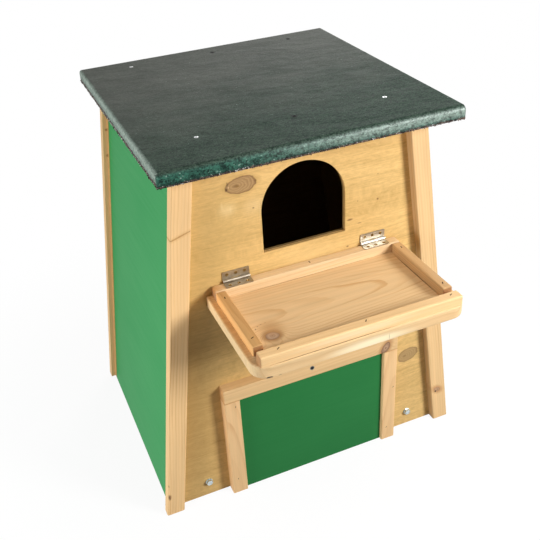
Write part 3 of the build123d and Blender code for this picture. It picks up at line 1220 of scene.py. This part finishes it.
@dataclass
class Roof:
    """The level roof board, its wrapped felt with its torn lower edge, and the screws through it."""

    nodes: Nodes
    fixings: FixingTree
    flakes: FlakeTree
    bottom: float = 584.0
    top: float = 602.5
    half: float = 211.5
    front: float = -160.5
    back: float = 274.0
    corner: float = 3.0
    layer: float = 3.6
    flake: Flake = Flake(long=2.6, wide=1.9, thick=0.5)
    flake_rise: float = 1.1
    flake_step: float = 1.4
    flake_stray: Point = (0.45, 0.45, 1.3)
    flake_sizes: tuple[float, float] = (0.40, 1.05)
    row_front: float = -79.5
    row_back: float = 238.5
    row_reach: float = 135.0
    head_lift: float = 0.02

    def build(self) -> None:
        """Dresses the roof and sets its fringe and screws."""
        under = BoardAxes((0.0, 0.0, self.bottom), ALONG_X, ALONG_Y)
        dress(self.nodes["roof_board"], Plywood("roof_plywood", under, self.layer, seed=41.0).make())
        dark_heads = [(0.0, self.row_front), (0.0, self.row_back), (self.row_reach, self.row_back)]
        felt = MineralFelt("roof_felt_green", self.bottom, self.top, self.front, self.back, -self.half,
                           pits=tuple((x, y, self.top) for x, y in dark_heads))
        dress(self.nodes["roof_felt"], felt.make())
        self._fringe()
        self._screws(dark_heads)

    def _fringe(self) -> None:
        """Flakes of torn felt round the lower edge."""
        loop = []
        for x, y, first_x in ((-self.half, self.front, False), (self.half, self.front, True),
                              (self.half, self.back, False), (-self.half, self.back, True)):
            along_x = (x - math.copysign(self.corner, x), y)
            along_y = (x, y - math.copysign(self.corner, y))
            loop += [along_x, along_y] if first_x else [along_y, along_x]
        points = [(x, y, self.bottom + self.flake_rise) for x, y in loop]
        torn = FeltFringe("felt_fringe_torn", -self.half).make()
        piece = self.flakes.grow("felt_fringe", self.flake, points, self.flake_step, self.flake_stray,
                                 self.flake_sizes, torn, seed=14)
        carry(piece, Body.BOX)

    def _screws(self, dark_heads: list[tuple[float, float]]) -> None:
        """Two rows of screws that hold the roof, some still bright and some gone dark.

        Args:
            dark_heads: Places of the dark ones, as x and y.
        """
        zinc = PlatedSteel("roof_screw_zinc", bright=(0.78, 0.79, 0.80), dull=(0.42, 0.42, 0.41),
                           rough=0.32, seed=3.0).make()
        dull = RustyIron("roof_screw_dull", seed=13.0, dark=(0.006, 0.005, 0.005),
                         rust=(0.022, 0.014, 0.010)).make()
        bright_heads = [(-self.row_reach, self.row_front), (self.row_reach, self.row_front),
                        (-self.row_reach, self.row_back)]
        for name, finish, radius, row in (("roof_screws_bright", zinc, 2.9, bright_heads),
                                          ("roof_screws_dull", dull, 2.5, dark_heads)):
            head = FixingHead(HeadShape.CROSS, radius, rise=0.22, seat=0.8, shank=0.7)
            points = [(x, y, self.top + self.head_lift) for x, y in row]
            piece = self.fixings.grow(name, head, points, UP, finish, turns=(0.0, 180.0), seed=8)
            carry(piece, Body.BOX)


@dataclass
class Hatch:
    """The fixed green panel low on the front with its pine rail and stiles."""

    nodes: Nodes
    fixings: FixingTree
    panel_face: float = -113.0
    panel_layer: float = 2.3
    paint_depth: float = 12.0
    batten_face: float = -119.0
    rail_middle: float = 203.5
    stile_middle: float = 136.3
    hole: Point = (-3.2, -119.0, 208.5)
    hole_reach: Point = (3.3, 4.0, 3.3)
    brad_sink: float = 0.05

    def build(self) -> None:
        """Dresses the hatch and sets its fixings."""
        face = BoardAxes((0.0, self.panel_face, 0.0), ALONG_X, DOWN)
        bare = Plywood("hatch_bare", face, self.panel_layer, seed=47.0)
        green = GreenPaint("hatch_green", face, bare, self.paint_depth, seed=9.0,
                           light=(0.024, 0.192, 0.051), dark=(0.018, 0.160, 0.041))
        dress(self.nodes["hatch_panel"], green.make())
        self._battens()
        self._fixings()

    def _battens(self) -> None:
        """The rail and stiles in pine, with painted shade in the rail's hole."""
        axes = BoardAxes((0.0, self.batten_face, self.rail_middle), ALONG_X, DOWN)
        knot = Knot((126.6, self.batten_face, 200.8), radius=6.4, stretch=1.75, slant=-58.0, swirl=1.6,
                    ring=4.6, light=(0.53, 0.335, 0.205), dark=(0.115, 0.055, 0.032), shade=0.75,
                    stain=(0.47, 0.215, 0.08), spread=2.1, rim=0.52)
        # Painted shade: a black disc on the rail stands for the dark inside of the hole under the eyelet.
        hole = Stain(self.hole, self.hole_reach, (0.004, 0.004, 0.004), share=1.0, core=0.85)
        rail = Pine("rail_pine", axes, pith=(-34.0, 22.0), ring=5.0, seed=53.0, tilt=0.010, wander=9.0,
                    tone=0.92, contrast=0.6, knots=(knot,), stains=(hole,))
        dress(self.nodes["hatch_top_rail"], rail.make())
        for side, tone in ((Side.LEFT, 0.98), (Side.RIGHT, 0.99)):
            axes = BoardAxes((side.value * self.stile_middle, self.batten_face, 0.0), UP, ALONG_X)
            stile = Pine(f"stile_pine_{side.label}", axes, pith=(side.value * 12.0, 34.0), ring=5.5,
                         seed=59.0 + side.value, tilt=0.07, wander=9.0, tone=tone, contrast=0.85,
                         early=(0.80, 0.525, 0.265), late=(0.57, 0.275, 0.11))
            dress(self.nodes[f"hatch_stile_{side.label}"], stile.make())

    def _fixings(self) -> None:
        """Brads in the battens and the metal rim of the hole in the middle of the rail."""
        brown = RustyIron("brad_iron", seed=7.0).make()
        places = ((-131.6, 181.0), (143.3, 113.0), (-139.0, 30.0), (133.0, 26.0))
        points = [(x, self.batten_face + self.brad_sink, z) for x, z in places]
        head = FixingHead(HeadShape.BRAD, 1.4, rise=0.12, seat=0.4)
        brads = self.fixings.grow("hatch_brads", head, points, FORWARD, brown, turns=(20.0, 110.0), seed=4)
        carry(brads, Body.BOX)
        grey = PlatedSteel("eyelet_steel", bright=(0.34, 0.35, 0.32), dull=(0.15, 0.155, 0.145),
                           rough=0.45, seed=2.0).make()
        ring = FixingHead(HeadShape.EYELET, 3.9, rise=0.35, seat=0.4)
        rim = self.fixings.grow("rail_eyelet", ring, [self.hole], FORWARD, grey, turns=(0.0, 45.0), seed=6)
        carry(rim, Body.BOX)


@dataclass
class Tray:
    """The landing tray: its round-cornered board, four rim battens and their brads."""

    nodes: Nodes
    fixings: FixingTree
    middle_y: float = -190.0
    top: float = 379.5
    rim_top: float = 394.0
    front_edge: float = -279.5
    rim_half: float = 136.65
    front_rim_y: float = -269.0
    back_rim_y: float = -110.5
    brad_sink: float = 0.05

    def build(self) -> None:
        """Dresses the tray and sets its brads."""
        self._board()
        self._rim()
        self._brads()

    def _board(self) -> None:
        """The board in broad-ringed pine with one knot."""
        axes = BoardAxes((0.0, self.middle_y, self.top), ALONG_X, ALONG_Y)
        knot = Knot((-106.0, -224.5, self.top), radius=8.0, stretch=1.15, swirl=3.2, ring=3.4,
                    light=(0.52, 0.375, 0.265), dark=(0.22, 0.12, 0.065), shade=0.85,
                    stain=(0.36, 0.175, 0.062), rim=0.68)
        wood = Pine("tray_pine", axes, pith=(10.0, -40.0), ring=4.6, seed=61.0, tilt=-0.066, wander=20.0,
                    tone=0.95, contrast=0.86, knots=(knot,), stains=self._board_marks(),
                    early=(0.79, 0.545, 0.285), late=(0.57, 0.29, 0.10), end=(0.97, 0.73, 0.41), ripple=4.0)
        dress(self.nodes["tray_board"], wood.make())

    def _board_marks(self) -> tuple[Stain, ...]:
        """Marks on the board's top, such as dark joints, with a strip of painted shade beside the left
        batten, and marks on its front edge with a patch of painted light.

        Returns:
            The marks. A row holds two places, three half sizes, colour, share and core.
        """
        tick = (0.16, 0.075, 0.03)
        edge = self.front_edge
        on_top = ((-101.0, -210.0, (24.0, 27.0, 5.0), (0.52, 0.275, 0.105), 0.62, 0.1),
                  (129.0, -190.0, (1.5, 74.0, 3.0), (0.15, 0.065, 0.027), 0.80, 0.4),
                  # Painted shade: the orange-brown strip on the board beside the left batten.
                  (-150.0, -185.0, (7.5, 100.0, 3.0), (0.62, 0.33, 0.115), 0.60, 0.4),
                  (0.0, -119.4, (150.0, 1.0, 3.0), (0.20, 0.09, 0.04), 0.60, 0.4),
                  (-120.3, -202.4, (1.2, 2.4, 3.0), tick, 0.65, 0.3),
                  (-115.8, -198.0, (1.6, 1.1, 3.0), tick, 0.55, 0.3),
                  (-110.4, -195.6, (2.2, 0.8, 3.0), tick, 0.60, 0.3),
                  (-103.8, -194.6, (1.8, 0.7, 3.0), tick, 0.50, 0.3))
        # Painted light: the near-white patch in the middle of the front edge.
        on_edge = ((5.0, 366.0, (80.0, 5.0, 13.0), (0.99, 0.85, 0.57), 0.95, 0.15),
                   (108.0, 366.0, (46.0, 5.0, 14.0), (0.74, 0.46, 0.22), 0.30, 0.1),
                   (32.4, 367.5, (0.4, 3.0, 6.4), (0.22, 0.11, 0.05), 0.75, 0.3))
        return (*(Stain((x, y, self.top), *row) for x, y, *row in on_top),
                *(Stain((x, edge, z), *row) for x, z, *row in on_edge),
                Stain((-134.0, edge + 0.3, 362.6), (5.0, 5.0, 2.3)),
                Stain((-120.0, edge, 361.5), (3.6, 5.0, 1.6)))

    def _rim(self) -> None:
        """The four battens of the rim, each in its own pine, with painted light on the front batten's face
        and painted light and shade on the side battens' side faces.
        """
        inset = self.front_edge + 2.0
        seam = Stain((-45.0, inset, self.top), (112.0, 3.0, 1.25), (0.14, 0.062, 0.025), share=0.85,
                     core=0.55)
        # Painted light: the pale band along the front batten's front face.
        pale = Stain((-15.0, inset, 388.0), (115.0, 4.0, 7.5), (0.93, 0.72, 0.45), share=0.60, core=0.1)
        ruddy = Stain((-146.0, self.back_rim_y, self.rim_top), (27.0, 15.0, 9.0), (0.60, 0.30, 0.095),
                      share=0.75, core=0.1)
        woods = {"left": ((0.82, 0.465, 0.18), (0.62, 0.30, 0.09)),
                 "right": ((0.82, 0.51, 0.235), (0.60, 0.30, 0.095)),
                 "back": ((0.80, 0.575, 0.325), Pine.late)}
        # Painted light on the left batten's outer face and painted shade on the right batten's inner face.
        flanks = {"left": 1.42, "right": 0.82}
        rows = (("back", (0.0, self.back_rim_y), ALONG_X, ALONG_Y, 0.95, 0.38),
                ("front", (0.0, self.front_rim_y), ALONG_X, ALONG_Y, 1.06, 0.45),
                ("left", (-self.rim_half, 0.0), ALONG_Y, ALONG_X, 0.75, 0.75),
                ("right", (self.rim_half, 0.0), ALONG_Y, ALONG_X, 0.77, 0.95))
        for index, (name, middle, along, across, tone, contrast) in enumerate(rows):
            early, late = woods.get(name, (Pine.early, Pine.late))
            finish = Pine(f"rim_pine_{name}", BoardAxes((*middle, self.rim_top), along, across),
                          pith=(26.0 - 7.0 * index, -30.0), ring=3.6, seed=67.0 + 5.0 * index, tilt=0.02,
                          wander=7.0, tone=tone, contrast=contrast, stains=(pale, seam, ruddy), early=early,
                          late=late, end=(0.34, 0.14, 0.052), flank=flanks.get(name, 1.0))
            dress(self.nodes[f"tray_batten_{name}"], finish.make())

    def _brads(self) -> None:
        """Brads through the tops of the rim battens."""
        brown = RustyIron("rim_brad_iron", seed=9.0, dark=(0.040, 0.018, 0.009),
                          rust=(0.120, 0.050, 0.018)).make()
        places = ((-self.rim_half, -136.8), (-self.rim_half, -234.3), (self.rim_half, -134.9),
                  (self.rim_half, -239.9), (-116.5, -268.0), (4.8, -267.5), (130.7, -268.0), (2.0, -109.0))
        points = [(x, y, self.rim_top - self.brad_sink) for x, y in places]
        head = FixingHead(HeadShape.BRAD, 2.3, rise=0.12, seat=0.4)
        piece = self.fixings.grow("rim_brads", head, points, UP, brown, turns=(20.0, 100.0), seed=12)
        carry(piece, Body.TRAY)


@dataclass
class Hardware:
    """The two butt hinges with their brass screws, and the two bolts low on the front."""

    nodes: Nodes
    fixings: FixingTree
    hinge_x: float = 107.0
    screw_step: float = 13.0
    plate_face: float = -102.7
    plate_row: float = 405.7
    leaf_face: float = 395.2
    leaf_row: float = -113.2

    def build(self) -> None:
        """Dresses the hinges and bolts and sets the hinge screws."""
        # Painted reflection: the hinges' nickel in two copies, darker and browner on the left for the wood
        # it reflects, brighter on the right.
        nickels = {Side.LEFT: PlatedSteel("hinge_nickel_left", bright=(0.50, 0.45, 0.37),
                                          dull=(0.25, 0.20, 0.14), rough=0.36, seed=1.0),
                   Side.RIGHT: PlatedSteel("hinge_nickel_right", bright=(0.62, 0.59, 0.53),
                                           dull=(0.26, 0.21, 0.14), rough=0.38, seed=8.0)}
        pin = PlatedSteel("pin_steel", bright=(0.70, 0.70, 0.69), dull=(0.45, 0.44, 0.42),
                          rough=0.30, seed=5.0).make()
        zinc = PlatedSteel("bolt_zinc", bright=(0.70, 0.77, 0.78), dull=(0.24, 0.29, 0.30),
                           rough=0.24, seed=6.0).make()
        for side in Side:
            nickel = nickels[side].make()
            dress(self.nodes[f"hinge_plate_{side.label}"], nickel)
            dress(self.nodes[f"tray_hinge_leaf_{side.label}"], nickel)
            dress(self.nodes[f"hinge_pin_{side.label}"], pin)
            dress(self.nodes[f"front_bolt_{side.label}"], zinc)
        self._screws()

    def _screws(self) -> None:
        """Three brass screws in each hinge leaf."""
        brass = PlatedSteel("screw_brass", bright=(0.38, 0.25, 0.090), dull=(0.14, 0.082, 0.032),
                            rough=0.48, seed=4.0).make()
        head = FixingHead(HeadShape.CROSS, 2.55, rise=0.28, seat=1.05, shank=0.60)
        row = [side.value * self.hinge_x + step * self.screw_step for side in Side for step in (-1, 0, 1)]
        on_wall = [(x, self.plate_face, self.plate_row) for x in row]
        turns = (0.0, 90.0)
        wall = self.fixings.grow("hinge_wall_screws", head, on_wall, FORWARD, brass, turns, seed=21)
        carry(wall, Body.BOX)
        on_rim = [(x, self.leaf_row, self.leaf_face) for x in row]
        rim = self.fixings.grow("hinge_rim_screws", head, on_rim, UP, brass, turns, seed=22)
        carry(rim, Body.TRAY)


@dataclass(frozen=True)
class SoftLamp:
    """A soft studio lamp, aimed at the middle of the box."""

    name: str
    direction: Point
    distance: float
    size: float
    level: float
    target: Point = (0.0, -0.08, 0.33)

    def place(self) -> None:
        """Adds the lamp."""
        data = bpy.data.lights.new(self.name, "AREA")
        data.shape = "DISK"
        data.size = self.size
        data.energy = self.level * math.pi ** 2 * self.distance ** 2
        lamp = bpy.data.objects.new(self.name, data)
        towards = Vector(self.direction).normalized()
        lamp.location = Vector(self.target) + towards * self.distance
        lamp.rotation_euler = towards.to_track_quat("Z", "Y").to_euler()
        bpy.context.scene.collection.objects.link(lamp)


@dataclass(frozen=True)
class FloorWhite(Finish):
    """A white floor that shows a faint shadow near the box and gives back less light than it shows."""

    shown: float = 0.92
    reach: float = 900.0
    near: float = 0.35
    bounce: Colour = (0.32, 0.32, 0.32)

    def paint(self, graph: Graph) -> None:
        """Lays the floor's finish into a graph.

        Args:
            graph: The material's graph.
        """
        seen = graph.seen_by("Camera", "Glossy")
        x, y, _ = graph.parts(graph.place())
        away = graph.ease((x * x + y * y) ** 0.5, self.reach * self.near, self.reach)
        share = away * (1.0 - self.shown) + self.shown
        matt = graph.node("ShaderNodeBsdfDiffuse", None, {"Color": graph.mix(seen, self.bounce, WHITE)})
        glow = graph.node("ShaderNodeEmission", None, {"Color": (*WHITE, 1.0), "Strength": 1.0})
        both = graph.node("ShaderNodeMixShader", None,
                          {0: seen * share, 1: matt.outputs[0], 2: glow.outputs[0]})
        graph.node("ShaderNodeOutputMaterial", None, {0: both.outputs[0]})


@dataclass
class Studio:
    """A white floor and background, soft lamps and plain view settings."""

    ambient: float = 0.02
    floor_size: float = 12.0
    lamps: tuple[SoftLamp, ...] = (
        SoftLamp("key_lamp", (0.585, -0.70, 0.41), distance=1.75, size=0.60, level=1.16),
        SoftLamp("left_lamp", (-0.975, -0.18, 0.11), distance=1.7, size=0.7, level=0.665),
        SoftLamp("back_lamp", (0.50, 0.82, 0.26), distance=2.4, size=1.4, level=0.60),
        SoftLamp("top_lamp", (0.05, -0.24, 0.97), distance=2.2, size=1.6, level=0.32))

    def build(self) -> None:
        """Builds the studio."""
        self._world()
        self._floor()
        for lamp in self.lamps:
            lamp.place()
        bpy.context.scene.view_settings.view_transform = "Standard"

    def _world(self) -> None:
        """White to the eye and in reflections, softer as light."""
        world = bpy.data.worlds.new("studio")
        world.use_nodes = True
        bpy.context.scene.world = world
        graph = Graph(world.node_tree)
        strength = graph.seen_by("Camera", "Glossy", "Transmission") * (1.0 - self.ambient) + self.ambient
        sky = graph.node("ShaderNodeBackground", None, {"Color": (*WHITE, 1.0), "Strength": strength})
        graph.node("ShaderNodeOutputWorld", None, {0: sky.outputs[0]})

    def _floor(self) -> None:
        """A pale floor that keeps a faint shadow."""
        half = self.floor_size / 2
        corners = [(-half, -half, 0), (half, -half, 0), (half, half, 0), (-half, half, 0)]
        mesh = bpy.data.meshes.new("studio_floor")
        mesh.from_pydata(corners, [], [(0, 1, 2, 3)])
        mesh.materials.append(FloorWhite("floor_white").make())
        floor = bpy.data.objects.new("studio_floor", mesh)
        bpy.context.scene.collection.objects.link(floor)


@dataclass
class PhotoCamera:
    """The camera at the photograph's place, in metres and degrees."""

    place: Point = (-0.39071, -0.95888, 0.98448)
    yaw: float = 21.337
    pitch: float = 32.704
    roll: float = -3.542
    lens: float = 51.974
    sensor: float = 36.0
    near: float = 0.02

    def build(self) -> None:
        """Adds the camera and makes it the scene's own."""
        yaw, pitch, roll = (math.radians(a) for a in (self.yaw, self.pitch, self.roll))
        ahead = Vector((math.sin(yaw) * math.cos(pitch), math.cos(yaw) * math.cos(pitch), -math.sin(pitch)))
        right = Vector((math.cos(yaw), -math.sin(yaw), 0.0))
        up = right.cross(ahead)
        side = right * math.cos(roll) + up * math.sin(roll)
        top = up * math.cos(roll) - right * math.sin(roll)
        data = bpy.data.cameras.new("photo_camera")
        data.sensor_width = self.sensor
        data.lens = self.lens
        data.clip_start = self.near
        camera = bpy.data.objects.new("photo_camera", data)
        turn = Matrix((side, top, -ahead)).transposed().to_4x4()
        camera.matrix_world = Matrix.Translation(self.place) @ turn
        bpy.context.scene.collection.objects.link(camera)
        bpy.context.scene.camera = camera


def main() -> None:
    """Builds the box's classes in order."""
    logging.basicConfig(level=logging.INFO, format="%(name)s: %(message)s")
    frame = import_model()
    nodes: Nodes = frame["nodes"]
    PhotoCamera().build()
    fixings = FixingTree()
    Shell(nodes).build()
    Roof(nodes, fixings, FlakeTree()).build()
    Hatch(nodes, fixings).build()
    Tray(nodes, fixings).build()
    Hardware(nodes, fixings).build()
    Studio().build()


if __name__ == "__main__":
    main()
